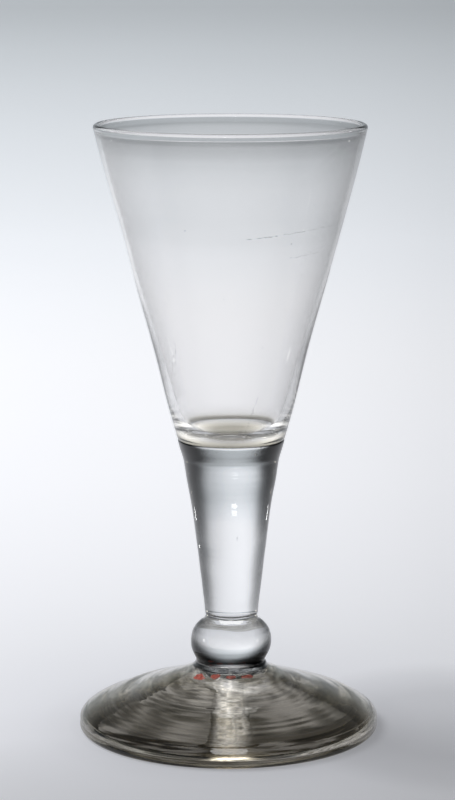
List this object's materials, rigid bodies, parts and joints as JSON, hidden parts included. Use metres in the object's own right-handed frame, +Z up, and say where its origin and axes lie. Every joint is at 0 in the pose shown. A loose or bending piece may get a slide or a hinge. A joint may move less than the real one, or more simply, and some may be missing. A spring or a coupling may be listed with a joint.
{
  "type": "tavern glass",
  "caption": "Stemmed drinking glass with a funnel bowl, solid tapering stem, ball knop and folded conical foot, to be filled, lifted and stood on a table.",
  "frame": {"origin": "centre of the foot's footprint, on the plane the glass stands on", "axes": "+Z up along the axis that the glass is turned about, X and Y level"},
  "size_m": [0.0792, 0.0792, 0.16],
  "materials": {
    "bowl_glass": "fire-polished blown glass, near colourless with a faint grey tint, fine wear scratches and a few seeds",
    "stem_glass": "solid clear glass with fine turned tool lines, weld bubbles and a cool grey tint",
    "foot_glass": "spun glass with rings and ripples, olive-grey in the thick places, worn on the resting edge",
    "scar_glass": "rough broken glass, slightly ground by wear"
  },
  "bodies": {
    "root": {"bowl": "bowl_glass", "stem": "stem_glass", "neck_wafer": "stem_glass", "ball_knop": "stem_glass", "base_wafer": "stem_glass", "foot": "foot_glass", "foot_fold": "foot_glass", "pontil_scar": "scar_glass"}
  },
  "joints": []
}
